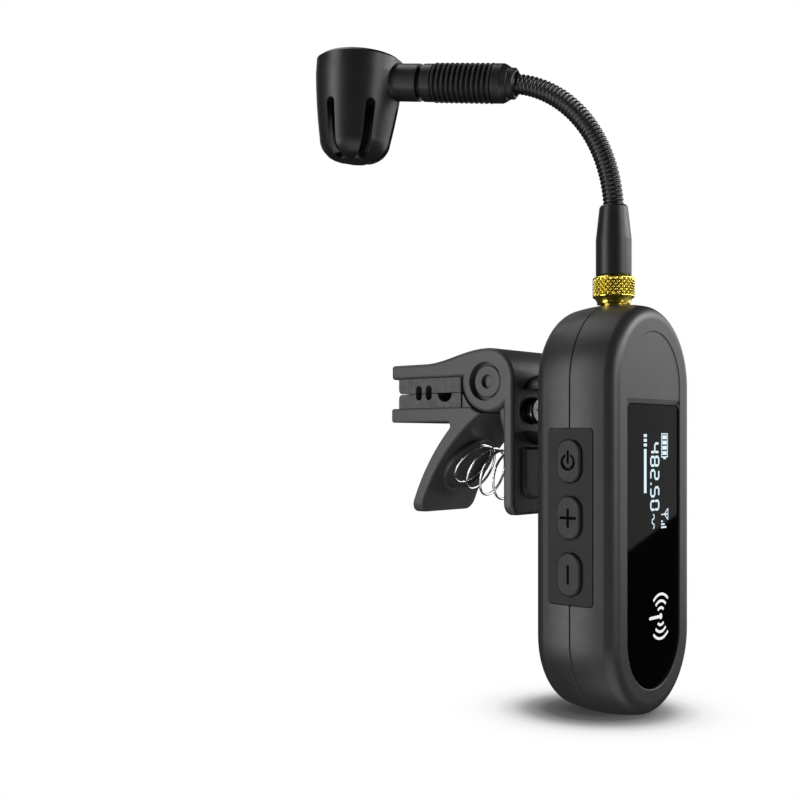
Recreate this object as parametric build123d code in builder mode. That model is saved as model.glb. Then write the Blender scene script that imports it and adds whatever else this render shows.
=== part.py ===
from build123d import *
import os
from math import asin, cos, degrees, radians, sin, sqrt

# A pocket radio transmitter with a clip-on gooseneck microphone and a spring clip on its back.
# Millimetres. +X is the transmitter's width, -Y its front face, +Z up to the microphone.
# The origin is the middle of the transmitter's bottom end, at the mouth of its charging socket.

# Transmitter housing
body_width = 34.0
body_height = 85.0
body_depth = 19.0
half_depth = body_depth / 2
end_radius = body_width / 2
top_centre = body_height - end_radius
side_curve = 36.0
side_wall = 1.8
front_wall = 2.6
rear_wall = 2.2
front_edge_radius = 2.8
rear_edge_radius = 3.6
seam_chamfer = 0.1
seam_groove = 0.2
seam_groove_depth = 0.4

# Window, lens and display
window_width = 21.7
window_top = 64.15
window_corner = 1.3
lens_sink = 0.4
lens_thickness = 0.8
lens_gap = 0.1
rim_width = (body_width - window_width) / 2
rim_bevel = 0.15
scoop_foot_sink = 0.12
scoop_foot = window_top + 1.1
scoop_head = top_centre + window_width / 2 - 0.2
display_width = 13.0
display_height = 27.0
display_centre = 49.3
display_back = 5.6

# Side button panel and its three buttons
panel_depth = 10.3
panel_height = 35.0
panel_centre = 41.6
panel_corner = 0.9
panel_gap = 0.1
panel_face = 16.8
panel_thickness = 0.8
panel_floor = panel_face - panel_thickness
button_centre = 41.4
button_pitch = 11.2
button_width = 5.4
button_height = 8.6
button_gap = 0.15
button_face = 17.55
button_back = 16.55
stem_radius = 1.2
stem_end = 13.95
button_travel = 0.45
switch_face = stem_end - button_travel - 0.15
button_heights = {
    "power": button_centre + button_pitch,
    "plus": button_centre,
    "minus": button_centre - button_pitch,
}

# Circuit board and what it carries
board_front = -2.8
board_back = -1.8
board_top = 67.6
boss_radius = 2.2
boss_meeting = -1.2
screw_spots = [(sx * 10.8, z) for sx in (-1, 1) for z in (12.0, 73.0)]

# Headphone-size screw-lock connector on the top end
bush_radius = 2.95
bush_bore = 1.85
bush_top = 88.6
plug_radius = 1.75
plug_tip = 75.7
nut_foot = 85.2
nut_knurl_foot = 86.5
nut_top = 90.8
nut_radius = 4.375
boot_foot = 91.0
boot_shoulder = 98.7
boot_top = 106.0

# Gooseneck: it leans by 4 degrees where it leaves the boot and curls over more and more
boom_turn = 20.0
lean_start = 4.0
lean_rate = 1.3
lean_growth = 0.0185
neck_length = 38.4
segment_count = 6
segment_gap = 0.5
neck_radius = 2.2
neck_bore = 1.45
lead_radius = 1.0

# Grip and microphone head, along the axis that the gooseneck ends on
grip_lift = 7.4
grip_core_radius = 2.6
sleeve_bore = grip_core_radius + 0.05
sleeve_start = 3.95
rib_count = 12
rib_pitch = 1.175
rib_radius = 4.3
rib_width = 0.52
groove_radius = 3.65
ferrule_start = sleeve_start + rib_count * rib_pitch
ferrule_end = ferrule_start + 2.5
ring_radius = 3.05
head_distance = 36.6
mic_neck_radius = 4.1
mic_neck_start = ferrule_end + 0.95
root_start = -10.3
root_end = -8.6
root_radius = 4.4
cage_radius = 10.0
cage_wall = 1.6
cage_top = 4.2
cage_foot = -18.1
slot_width = 2.2
slot_phase = -13.0
slot_top = -5.7
head_tilt = 3.0

# Spring clip
clip_half_width = 10.0
clip_edge_radius = 0.8
lever_edge_radius = 0.45
corner_radius = 2.6
arm_face = 18.7
arm_back = 21.4
arm_foot = 40.5
pivot_y = 26.2
pivot_z = 69.65
knuckle_y = 25.7
knuckle_z = 69.95
knuckle_radius = knuckle_y - arm_face
ear_inner = 5.9
lug_half_width = 5.7
lug_radius = 4.0
pin_radius = 2.5
pin_head_radius = 3.5
pin_head_sink = 0.95
pin_recess_radius = 4.25
pin_recess_depth = 1.5
jaw_tip = 53.65
jaw_thickness = 3.25
upper_jaw_foot = 70.9
lower_jaw_top = 64.1
pad_start = 33.05
pad_end = 51.4
pad_meeting = 67.5
pad_gap = 0.15
spring_radius = 5.3
spring_wire = 0.35
spring_height = 48.6

# Swivel between the clip and the transmitter
swivel_z = 63.3
swivel_radius = 7.5
swivel_wall = 1.2
swivel_floor = 20.2
swivel_base = 1.5

os.makedirs("parts", exist_ok=True)


def save(builder, name):
    builder.part.label = name
    export_step(builder.part, f"parts/{name}.step")


# Planes. FRONT and BACK put local x across the width and local y up; extrusions leave the middle.
FRONT = Plane.XZ
BACK = Plane(origin=(0, 0, 0), x_dir=(-1, 0, 0), z_dir=(0, 1, 0))
across = Vector(-sin(radians(boom_turn)), cos(radians(boom_turn)), 0)
boom_normal = Vector(cos(radians(boom_turn)), sin(radians(boom_turn)), 0)
BOOM = Plane(origin=(0, 0, 0), x_dir=across, z_dir=boom_normal)


def body_outline(inset=0.0, mode=Mode.ADD):
    with Locations((0, body_height / 2)):
        SlotOverall(body_height - 2 * inset, body_width - 2 * inset, rotation=90, mode=mode)


def shell_body(way, edge_radius):
    """One half of the housing, from the seam to its face; way is -1 for the front and 1 for the rear."""
    middle = half_depth / 2
    curve_centre = end_radius - side_curve
    with BuildSketch() as section:
        with BuildLine():
            Polyline((end_radius, 0), (0, 0), (0, half_depth))
            Line((0, half_depth), (curve_centre + sqrt(side_curve**2 - half_depth**2), half_depth))
            ThreePointArc(
                (curve_centre + sqrt(side_curve**2 - half_depth**2), half_depth),
                (curve_centre + sqrt(side_curve**2 - middle**2), middle),
                (end_radius, 0),
            )
        make_face()
        fillet(section.vertices().group_by(Axis.Y)[-1].sort_by(Axis.X)[-1], edge_radius)
        if way < 0:
            mirror(about=Plane.XZ, mode=Mode.REPLACE)
    with BuildPart() as half:
        for z in (end_radius, top_centre):
            with BuildSketch(Plane.XY.offset(z)):
                add(section.sketch)
            revolve(axis=Axis((0, 0, z), (0, 1, 0)))
        with BuildSketch(Plane.XY.offset(end_radius)):
            add(section.sketch)
            mirror(about=Plane.YZ)
        extrude(amount=top_centre - end_radius)
    return half.part


def window_outline(inset=0.0):
    with Locations((0, (end_radius + window_top - inset) / 2)):
        Rectangle(window_width - 2 * inset, window_top - inset - end_radius)
    with Locations((0, end_radius)):
        Circle(window_width / 2 - inset)


# Openings that both shells share, because the seam runs through them
with BuildPart() as shared_openings:
    with BuildSketch(Plane.YZ.offset(-panel_floor)):
        with Locations((0, panel_centre)):
            RectangleRounded(panel_depth + 2 * panel_gap, panel_height + 2 * panel_gap, panel_corner)
    extrude(amount=-3)
    with BuildSketch(Plane.YZ.offset(-panel_floor)):
        with Locations(*[(0, z) for z in button_heights.values()]):
            Circle(stem_radius + 0.2)
    extrude(amount=3)
    with BuildSketch(Plane.XY.offset(-1)):
        SlotOverall(9.3, 3.5)
    extrude(amount=4)
    with BuildSketch(Plane.XY.offset(body_height - 4)):
        Circle(bush_radius + 0.1)
    extrude(amount=6)

# The scoop above the window: it starts level with the front face at the top of an arch, sinks
# towards the lens, and drops to it over a short bevel
with BuildPart() as scoop:
    with BuildSketch(FRONT.offset(half_depth - 2)):
        with Locations((0, (window_top + top_centre) / 2)):
            Rectangle(window_width, top_centre - window_top)
        with Locations((0, top_centre)):
            Circle(window_width / 2)
    extrude(amount=3)
    with BuildSketch(Plane.YZ.offset(-window_width)):
        with BuildLine():
            Polyline(
                (-half_depth - 2, window_top - 0.5),
                (-half_depth + lens_sink, window_top - 0.5),
                (-half_depth + lens_sink, window_top),
                (-half_depth + scoop_foot_sink, scoop_foot),
                (-half_depth, scoop_head),
                (-half_depth - 2, scoop_head),
                close=True,
            )
        make_face()
    extrude(amount=2 * window_width, mode=Mode.INTERSECT)

with BuildPart() as front_shell:
    add(shell_body(-1, front_edge_radius))
    chamfer(front_shell.faces().sort_by(Axis.Y)[-1].edges(), seam_chamfer)
    with BuildSketch(FRONT):
        body_outline(side_wall)
    extrude(amount=half_depth - front_wall, mode=Mode.SUBTRACT)
    # The fine shadow groove along the seam
    with BuildSketch(FRONT):
        body_outline(-1)
        body_outline(seam_groove_depth, Mode.SUBTRACT)
    extrude(amount=seam_groove, mode=Mode.SUBTRACT)
    add(scoop.part, mode=Mode.SUBTRACT)
    with BuildSketch(FRONT.offset(half_depth - lens_sink - lens_thickness)) as window:
        window_outline()
        fillet(window.vertices().sort_by(Axis.Y)[-2:], window_corner)
    extrude(amount=3, mode=Mode.SUBTRACT)
    with BuildSketch(FRONT.offset(half_depth)):
        body_outline(rim_width - rim_bevel)
    extrude(amount=-rim_bevel, taper=45, mode=Mode.SUBTRACT)
    with BuildSketch(FRONT):
        with Locations((0, display_centre)):
            Rectangle(display_width, display_height)
    extrude(amount=half_depth, mode=Mode.SUBTRACT)
    with BuildSketch(FRONT.offset(-boss_meeting)):
        with Locations(*screw_spots):
            Circle(boss_radius)
    extrude(amount=half_depth - front_wall + boss_meeting)
    with BuildSketch(FRONT.offset(-boss_meeting)):
        with Locations(*screw_spots):
            Circle(0.75)
    extrude(amount=4.6, mode=Mode.SUBTRACT)
    add(shared_openings.part, mode=Mode.SUBTRACT)
save(front_shell, "front_shell")

with BuildPart() as rear_shell:
    add(shell_body(1, rear_edge_radius))
    chamfer(rear_shell.faces().sort_by(Axis.Y)[0].edges(), seam_chamfer)
    with BuildSketch(BACK):
        body_outline(side_wall)
    extrude(amount=half_depth - rear_wall, mode=Mode.SUBTRACT)
    with BuildSketch(BACK.offset(boss_meeting)):
        with Locations(*screw_spots):
            Circle(boss_radius)
    extrude(amount=half_depth - rear_wall - boss_meeting)
    with BuildSketch(BACK.offset(boss_meeting)):
        with Locations(*screw_spots):
            Circle(1.1)
    extrude(amount=body_depth, mode=Mode.SUBTRACT)
    with BuildSketch(BACK.offset(half_depth - 2.4)):
        with Locations(*screw_spots):
            Circle(2.0)
    extrude(amount=4, mode=Mode.SUBTRACT)
    with BuildSketch(BACK.offset(half_depth - 4)):
        with Locations((0, swivel_z - 11.3), (0, swivel_z + 11.3)):
            Circle(1.0)
    extrude(amount=6, mode=Mode.SUBTRACT)
    add(shared_openings.part, mode=Mode.SUBTRACT)
save(rear_shell, "rear_shell")

with BuildPart() as shell_screws:
    with BuildSketch(BACK.offset(half_depth - 2.35)):
        with Locations(*screw_spots):
            Circle(1.9)
    extrude(amount=1.3)
    with BuildSketch(BACK.offset(half_depth - 2.35)):
        with Locations(*screw_spots):
            Circle(0.72)
    extrude(amount=-11.5)
    with BuildSketch(BACK.offset(half_depth - 1.55)):
        with Locations(*screw_spots):
            Rectangle(2.2, 0.5)
            Rectangle(0.5, 2.2)
    extrude(amount=1, mode=Mode.SUBTRACT)
save(shell_screws, "shell_screws")

with BuildPart() as display_lens:
    with BuildSketch(FRONT.offset(half_depth - lens_sink - lens_thickness)) as lens:
        window_outline(lens_gap)
        fillet(lens.vertices().sort_by(Axis.Y)[-2:], window_corner)
    extrude(amount=lens_thickness)
    chamfer(display_lens.faces().sort_by(Axis.Y)[0].edges(), 0.08)
save(display_lens, "display_lens")

with BuildPart() as display_module:
    with BuildSketch(FRONT.offset(display_back)):
        with Locations((0, display_centre)):
            Rectangle(display_width - 0.6, display_height - 0.6)
    extrude(amount=half_depth - lens_sink - lens_thickness - display_back - 0.1)
save(display_module, "display_module")

with BuildPart() as display_flex:
    with BuildSketch(Plane.YZ.offset(-4)):
        with BuildLine():
            Polyline(
                (-display_back + 0.05, 42.0),
                (-display_back + 0.25, 42.0),
                (-display_back + 0.25, 37.2),
                (board_front, 34.4),
                (board_front, 34.2),
                (board_front - 0.2, 34.2),
                (-display_back + 0.05, 37.0),
                close=True,
            )
        make_face()
    extrude(amount=8)
save(display_flex, "display_flex")

# Button panel: a flat inlay with three holes
with BuildPart() as button_panel:
    with BuildSketch(Plane.YZ.offset(-panel_face)):
        with Locations((0, panel_centre)):
            RectangleRounded(panel_depth, panel_height, panel_corner)
        with Locations(*[(0, z) for z in button_heights.values()]):
            SlotOverall(
                button_height + 2 * button_gap,
                button_width + 2 * button_gap,
                rotation=90,
                mode=Mode.SUBTRACT,
            )
    extrude(amount=panel_thickness)
save(button_panel, "button_panel")


def draw_power_icon():
    Circle(1.55)
    Circle(1.15, mode=Mode.SUBTRACT)
    with Locations((0, 1.3)):
        Rectangle(1.1, 1.2, mode=Mode.SUBTRACT)
    with Locations((0, 1.2)):
        Rectangle(0.4, 1.7)


def draw_plus_icon():
    Rectangle(0.5, 3.0)
    Rectangle(3.0, 0.5)


def draw_minus_icon():
    Rectangle(0.5, 3.0)


icons = {"power": draw_power_icon, "plus": draw_plus_icon, "minus": draw_minus_icon}

for name, height in button_heights.items():
    face = Plane(origin=(-button_face, 0, height), x_dir=(0, -1, 0), z_dir=(-1, 0, 0))
    with BuildPart() as button:
        with BuildSketch(face.offset(button_back - button_face)):
            SlotOverall(button_height, button_width, rotation=90)
        extrude(amount=button_face - button_back)
        fillet(button.faces().sort_by(Axis.X)[0].edges(), 0.35)
        with BuildSketch(face.offset(button_back - button_face)):
            Circle(stem_radius)
        extrude(amount=stem_end - button_back)
        with BuildSketch(face.offset(14.9 - button_face)):
            Circle(stem_radius + 0.5)
        extrude(amount=-0.6)
        with BuildSketch(face):
            icons[name]()
        extrude(amount=-0.18, mode=Mode.SUBTRACT)
    save(button, f"{name}_button")
    with BuildPart() as plunger:
        with BuildSketch(face.offset(stem_end - button_face)):
            Circle(0.85)
        extrude(amount=-1.5)
    save(plunger, f"{name}_plunger")

with BuildPart() as tact_switches:
    with BuildSketch(Plane.YZ.offset(-switch_face)):
        with Locations(*[(-0.05, z) for z in button_heights.values()]):
            Rectangle(3.5, 4.6)
    extrude(amount=switch_face - 10.6)
    with BuildSketch(Plane.YZ.offset(-switch_face)):
        with Locations(*[(0, z) for z in button_heights.values()]):
            Circle(0.95)
    extrude(amount=switch_face - 11.5, mode=Mode.SUBTRACT)
save(tact_switches, "tact_switches")

with BuildPart() as main_board:
    with BuildSketch(FRONT.offset(-board_back)):
        body_outline(side_wall + 0.8)
        with Locations((0, board_top + 10)):
            Rectangle(body_width, 20, mode=Mode.SUBTRACT)
        with Locations(*screw_spots[::2]):
            Circle(boss_radius + 0.3, mode=Mode.SUBTRACT)
        with Locations((0, 3)):
            Rectangle(9.6, 3, mode=Mode.SUBTRACT)
    extrude(amount=board_back - board_front)
save(main_board, "main_board")

with BuildPart() as board_chips:
    with BuildSketch(BACK.offset(board_back)):
        with Locations((0, 58)):
            Rectangle(7, 7)
        with Locations((-6, 22)):
            Rectangle(4, 4)
        with Locations((9, 60)):
            Rectangle(3.2, 2.5)
    extrude(amount=0.9)
save(board_chips, "board_chips")

with BuildPart() as radio_shield:
    with BuildSketch(FRONT.offset(-board_front)):
        with Locations((0, 24)):
            Rectangle(16, 12)
    extrude(amount=1.7)
    with BuildSketch(FRONT.offset(-board_front)):
        with Locations((0, 24)):
            Rectangle(15.4, 11.4)
    extrude(amount=1.4, mode=Mode.SUBTRACT)
save(radio_shield, "radio_shield")

with BuildPart() as antenna:
    with BuildSketch(FRONT.offset(-board_front)):
        with BuildLine():
            Polyline(
                (9.4, 30),
                (11.9, 30),
                (11.9, 20),
                (12.7, 20),
                (12.7, 52),
                (11.9, 52),
                (11.9, 30.8),
                (9.4, 30.8),
                close=True,
            )
        make_face()
    extrude(amount=2.2)
save(antenna, "antenna")

with BuildPart() as usb_socket:
    with BuildSketch(Plane.XY.offset(0.8)):
        SlotOverall(8.94, 3.2)
    extrude(amount=7.3)
    with BuildSketch(Plane.XY.offset(0.8)):
        SlotOverall(8.3, 2.56)
    extrude(amount=6.3, mode=Mode.SUBTRACT)
    with BuildSketch(Plane.XY.offset(1.6)):
        Rectangle(6.6, 0.7)
    extrude(amount=6)
save(usb_socket, "usb_socket")

with BuildPart() as battery_cell:
    with BuildSketch(BACK.offset(2.3)):
        with Locations((-1.5, 33)):
            Rectangle(21, 36)
    extrude(amount=4.4)
    fillet(battery_cell.edges().filter_by(Axis.Z), 1.6)
save(battery_cell, "battery_cell")

with BuildPart() as battery_pad:
    with BuildSketch(BACK.offset(6.7)):
        with Locations((-1.5, 33)):
            Rectangle(16, 28)
    extrude(amount=half_depth - rear_wall - 6.7)
save(battery_pad, "battery_pad")

# Connector socket inside the top end
with BuildPart() as jack_socket:
    with BuildSketch(Plane.XY.offset(68.3)):
        Rectangle(8.0, 6.2)
        Circle(2.6, mode=Mode.SUBTRACT)
    extrude(amount=12.5)
    with BuildSketch(Plane.XY.offset(68.3)):
        Rectangle(8.0, 6.2)
    extrude(amount=1.2)
save(jack_socket, "jack_socket")

with BuildPart() as jack_contacts:
    with BuildSketch(Plane.XY.offset(70)):
        with PolarLocations(2.2, 3):
            Rectangle(0.25, 1.4)
    extrude(amount=9)
save(jack_contacts, "jack_contacts")

with BuildPart() as jack_bush:
    with BuildSketch(Plane.XY.offset(80.9)):
        Circle(4.0)
    extrude(amount=1.5)
    with BuildSketch(Plane.XY.offset(80.9)):
        Circle(bush_radius)
    extrude(amount=bush_top - 80.9)
    with BuildSketch(Plane.XY.offset(80.9)):
        Circle(bush_bore)
    extrude(amount=10, mode=Mode.SUBTRACT)
    chamfer(jack_bush.faces().sort_by(Axis.Z)[-1].outer_wire().edges(), 0.3)
save(jack_bush, "jack_bush")

# Plug: tip, ring and sleeve are separate metal pieces with insulating rings between them
with BuildPart() as mic_plug:
    with BuildSketch(Plane.XZ) as plug_profile:
        with BuildLine():
            Polyline(
                (0, plug_tip),
                (0.55, plug_tip),
                (1.6, plug_tip + 1.5),
                (1.25, plug_tip + 2.2),
                (1.7, plug_tip + 2.9),
                (0, plug_tip + 2.9),
                close=True,
            )
        make_face()
        with Locations((0.85, plug_tip + 4.6)):
            Rectangle(1.7, 2.4)
        with BuildLine():
            Polyline(
                (0, plug_tip + 6.3),
                (plug_radius, plug_tip + 6.3),
                (plug_radius, bush_top + 0.1),
                (2.8, bush_top + 0.1),
                (2.8, bush_top + 1.1),
                (2.25, bush_top + 1.1),
                (2.25, boot_foot + 1.6),
                (0, boot_foot + 1.6),
                close=True,
            )
        make_face()
    revolve(axis=Axis.Z)
save(mic_plug, "mic_plug")

with BuildPart() as plug_insulators:
    with BuildSketch(Plane.XY.offset(plug_tip + 2.9)):
        Circle(1.65)
    extrude(amount=0.5)
    with BuildSketch(Plane.XY.offset(plug_tip + 5.8)):
        Circle(1.65)
    extrude(amount=0.5)
save(plug_insulators, "plug_insulators")

with BuildPart() as lock_nut:
    with BuildSketch(Plane.XZ):
        with BuildLine():
            Polyline(
                (bush_radius + 0.1, nut_foot),
                (3.45, nut_foot),
                (3.45, nut_knurl_foot - 0.9),
                (3.95, nut_knurl_foot),
                (nut_radius, nut_knurl_foot + 0.2),
                (nut_radius, nut_top - 0.3),
                (nut_radius - 0.3, nut_top),
                (2.35, nut_top),
                (2.35, bush_top + 1.2),
                (bush_radius + 0.1, bush_top + 1.2),
                close=True,
            )
        make_face()
    revolve(axis=Axis.Z)
save(lock_nut, "lock_nut")

with BuildPart() as gooseneck_boot:
    with BuildSketch(Plane.XZ):
        with BuildLine():
            Polyline(
                (0, boot_foot + 1.7),
                (2.3, boot_foot + 1.7),
                (2.3, boot_foot),
                (3.5, boot_foot),
                (3.7, boot_foot + 0.3),
                (3.7, boot_shoulder),
                (2.95, boot_top - 0.6),
                (2.7, boot_top - 0.2),
                (lead_radius + 0.2, boot_top - 0.2),
                (lead_radius + 0.2, boot_foot + 3),
                (0, boot_foot + 3),
                close=True,
            )
        make_face()
    revolve(axis=Axis.Z)
save(gooseneck_boot, "gooseneck_boot")


def lean(s):
    """Angle of the gooseneck from vertical, s millimetres along it from the boot."""
    return radians(lean_start + lean_rate * s + lean_growth * s * s)


def neck_point(s):
    """Place on the gooseneck's axis: distance out from the boot's axis, and height."""
    steps = 60
    step = s / steps
    out = sum(sin(lean((i + 0.5) * step)) * step for i in range(steps))
    up = sum(cos(lean((i + 0.5) * step)) * step for i in range(steps))
    return out, boot_top + up


def tube_along(start, end, outer, bore):
    """A tube along the gooseneck's axis, as one arc."""
    with BuildPart() as tube:
        with BuildLine(BOOM) as path:
            ThreePointArc(neck_point(start), neck_point((start + end) / 2), neck_point(end))
        with BuildSketch(Plane(origin=path.line @ 0, z_dir=path.line % 0)):
            Circle(outer)
            if bore:
                Circle(bore, mode=Mode.SUBTRACT)
        sweep()
    return tube


segment_length = neck_length / segment_count
for k in range(segment_count):
    start = k * segment_length + segment_gap / 2
    end = (k + 1) * segment_length - segment_gap / 2
    save(tube_along(start, end, neck_radius, neck_bore), f"gooseneck_{k + 1}")
    save(tube_along(start, end, lead_radius, 0), f"mic_lead_{k + 1}")

# Grip: local x runs out along the grip, local y is away from its axis
end_out, end_up = neck_point(neck_length)
grip_origin = BOOM.from_local_coords((end_out, end_up, 0))
grip_dir = across * cos(radians(grip_lift)) + Vector(0, 0, sin(radians(grip_lift)))
grip_up = boom_normal.cross(grip_dir)
head_up = grip_up * cos(radians(head_tilt)) + grip_dir * sin(radians(head_tilt))
head_dir = grip_dir * cos(radians(head_tilt)) - grip_up * sin(radians(head_tilt))
GRIP = Plane(origin=grip_origin, x_dir=grip_dir, z_dir=boom_normal)
grip_axis = Axis(grip_origin, grip_dir)
head_centre = grip_origin + grip_dir * head_distance
HEAD = Plane(origin=head_centre, x_dir=head_dir, z_dir=boom_normal)
NECK = Plane(origin=head_centre, x_dir=grip_dir, z_dir=boom_normal)
head_axis = Axis(head_centre, head_up)

with BuildPart() as grip_core:
    with BuildSketch(GRIP):
        with Locations((ferrule_start / 2 + 0.5, (grip_core_radius + neck_bore) / 2)):
            Rectangle(ferrule_start - 1.0, grip_core_radius - neck_bore)
    revolve(axis=grip_axis)
save(grip_core, "grip_core")

with BuildPart() as grip_collar:
    with BuildSketch(GRIP):
        with BuildLine():
            Polyline(
                (0.3, 2.6),
                (-0.9, 2.6),
                (-0.9, 2.95),
                (-0.55, 3.3),
                (0.6, 3.35),
                (0.7, 3.55),
                (1.7, 4.1),
                (2.0, 4.2),
                (sleeve_start, 4.2),
                (sleeve_start, grip_core_radius + 0.05),
                (1.0, grip_core_radius + 0.05),
                (1.0, neck_bore),
                (0.3, neck_bore),
                close=True,
            )
        make_face()
    revolve(axis=grip_axis)
save(grip_collar, "grip_collar")

with BuildPart() as grip_sleeve:
    with BuildSketch(GRIP) as ribs:
        for rib in range(rib_count):
            with Locations((sleeve_start + (rib + 0.5) * rib_pitch, (rib_radius + sleeve_bore) / 2)):
                Rectangle(rib_width, rib_radius - sleeve_bore)
        fillet(ribs.vertices().group_by(Axis.Y)[-1], 0.24)
        with Locations(((sleeve_start + ferrule_start) / 2, (groove_radius + sleeve_bore) / 2)):
            Rectangle(ferrule_start - sleeve_start, groove_radius - sleeve_bore)
    revolve(axis=grip_axis)
save(grip_sleeve, "grip_sleeve")

with BuildPart() as grip_ferrule:
    with BuildSketch(GRIP):
        with BuildLine():
            Polyline(
                (ferrule_start, grip_core_radius + 0.05),
                (ferrule_start, 4.1),
                (ferrule_end - 0.25, 4.1),
                (ferrule_end, 3.85),
                (ferrule_end, grip_core_radius + 0.05),
                close=True,
            )
        make_face()
    revolve(axis=grip_axis)
save(grip_ferrule, "grip_ferrule")

with BuildPart() as neck_ring:
    with BuildSketch(GRIP):
        with Locations(((ferrule_end + mic_neck_start) / 2, (grip_core_radius + ring_radius) / 2)):
            Rectangle(mic_neck_start - ferrule_end - 0.1, ring_radius - grip_core_radius)
    revolve(axis=grip_axis)
save(neck_ring, "neck_ring")

# Microphone head: a slotted cage with a hollow neck, a domed cap and the capsule inside
with BuildPart() as mic_cage:
    with BuildSketch(HEAD):
        with BuildLine():
            Line((0, cage_foot), (3.2, cage_foot))
            ThreePointArc((3.2, cage_foot), (6.7, cage_foot + 1.4), (8.1, cage_foot + 4.4))
            ThreePointArc((8.1, cage_foot + 4.4), (9.3, -6.0), (cage_radius, 1.0))
            Polyline(
                (cage_radius, 1.0),
                (cage_radius, cage_top),
                (cage_radius - cage_wall, cage_top),
                (cage_radius - cage_wall, 1.0),
            )
            ThreePointArc((cage_radius - cage_wall, 1.0), (7.7, -6.2), (6.5, cage_foot + 4.7))
            ThreePointArc((6.5, cage_foot + 4.7), (5.4, cage_foot + 2.5), (3.0, cage_foot + cage_wall))
            Polyline((3.0, cage_foot + cage_wall), (0, cage_foot + cage_wall), (0, cage_foot))
        make_face()
    revolve(axis=head_axis)
    with BuildSketch(Plane(origin=grip_origin + grip_dir * mic_neck_start, z_dir=grip_dir)):
        Circle(mic_neck_radius)
    extrude(amount=head_distance - mic_neck_start - cage_radius + cage_wall - 0.1)
    # The neck's flared root, where it meets the cage
    with BuildSketch(NECK):
        with BuildLine():
            Polyline((root_end, 3.0), (root_start, 3.0), (root_start, mic_neck_radius))
            ThreePointArc((root_start, mic_neck_radius), (-9.43, 4.17), (root_end, root_radius))
            Line((root_end, root_radius), (root_end, 3.0))
        make_face()
    revolve(axis=grip_axis)
    with BuildSketch(Plane(origin=grip_origin + grip_dir * (ferrule_start + 0.1), z_dir=grip_dir)):
        Circle(grip_core_radius)
    extrude(amount=mic_neck_start - ferrule_start - 0.1)
    with BuildSketch(Plane(origin=grip_origin + grip_dir * ferrule_start, z_dir=grip_dir)):
        Circle(lead_radius + 0.2)
    extrude(amount=head_distance - ferrule_start - 5, mode=Mode.SUBTRACT)
    for k in range(6):
        turn = 180 - slot_phase - 60 * k
        radial = head_dir.rotate(Axis((0, 0, 0), head_up), turn)
        slot_plane = Plane(
            origin=head_centre + radial * 3.6 + head_up * (slot_top - 9.5),
            x_dir=head_up.cross(radial),
            z_dir=radial,
        )
        with BuildSketch(slot_plane):
            SlotOverall(19, slot_width, rotation=90)
        extrude(amount=9, mode=Mode.SUBTRACT)
save(mic_cage, "mic_cage")

with BuildPart() as mic_cap:
    with BuildSketch(HEAD):
        with BuildLine():
            ThreePointArc((0, 5.95), (4.4, 5.77), (8.1, 5.2))
            ThreePointArc((8.1, 5.2), (9.1, 4.88), (9.65, 4.32))
            Polyline(
                (9.65, 4.32),
                (8.2, 4.32),
                (8.2, 2.8),
                (7.1, 2.8),
                (7.1, 4.0),
                (0, 4.7),
                (0, 5.95),
            )
        make_face()
    revolve(axis=head_axis)
save(mic_cap, "mic_cap")

with BuildPart() as mic_capsule:
    with BuildSketch(HEAD):
        with BuildLine():
            Polyline((0, -4.0), (4.5, -4.0), (4.5, -3.7), (4.8, -3.7), (4.8, 1.0), (0, 1.0), close=True)
        make_face()
    revolve(axis=head_axis)
save(mic_capsule, "mic_capsule")

with BuildPart() as capsule_mount:
    with BuildSketch(HEAD):
        with BuildLine():
            Polyline(
                (4.8, -3.2),
                (5.8, -3.2),
                (5.8, -0.8),
                (7.6, -0.8),
                (7.6, 2.4),
                (0, 2.4),
                (0, 1.0),
                (4.8, 1.0),
                close=True,
            )
        make_face()
    revolve(axis=head_axis)
save(capsule_mount, "capsule_mount")

# Swivel bracket on the transmitter's back: a screwed-down foot, two curved flanges and a floor
SWIVEL = BACK.offset(half_depth)
with BuildPart() as swivel_bracket:
    with BuildSketch(SWIVEL):
        with Locations((0, swivel_z)):
            SlotOverall(29, 2 * swivel_radius, rotation=90)
    extrude(amount=swivel_base)
    with BuildSketch(SWIVEL):
        with Locations((0, swivel_z)):
            Circle(swivel_radius)
            Circle(swivel_radius - swivel_wall, mode=Mode.SUBTRACT)
            Rectangle(2 * swivel_radius, 9.0, mode=Mode.SUBTRACT)
    extrude(amount=swivel_floor + 1 - half_depth)
    with BuildSketch(BACK.offset(swivel_floor)):
        with Locations((0, swivel_z)):
            Circle(swivel_radius)
    extrude(amount=1.0)
    with BuildSketch(BACK.offset(swivel_floor)):
        with Locations((0, swivel_z)):
            Circle(1.53)
    extrude(amount=1.0, mode=Mode.SUBTRACT)
    with Locations(
        Plane(origin=(0, half_depth + swivel_base, swivel_z - 11.3), z_dir=(0, 1, 0)),
        Plane(origin=(0, half_depth + swivel_base, swivel_z + 11.3), z_dir=(0, 1, 0)),
    ):
        CounterSinkHole(1.1, 1.95, depth=swivel_base, counter_sink_angle=90)
save(swivel_bracket, "swivel_bracket")

with BuildPart() as bracket_screws:
    with BuildSketch(Plane.YZ):
        for side in (-1, 1):
            height = swivel_z + side * 11.3
            with BuildLine():
                Polyline(
                    (half_depth + swivel_base - 0.1, height),
                    (half_depth + swivel_base - 0.1, height + 1.8),
                    (half_depth + swivel_base - 0.95, height + 0.95),
                    (half_depth - 3.0, height + 0.95),
                    (half_depth - 3.0, height),
                    close=True,
                )
            make_face()
    for side in (-1, 1):
        axis = Axis((0, 0, swivel_z + side * 11.3), (0, 1, 0))
        faces = [f for f in bracket_screws.pending_faces if (f.center().Z > swivel_z) == (side > 0)]
        revolve(profiles=faces, axis=axis)
save(bracket_screws, "bracket_screws")

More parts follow.
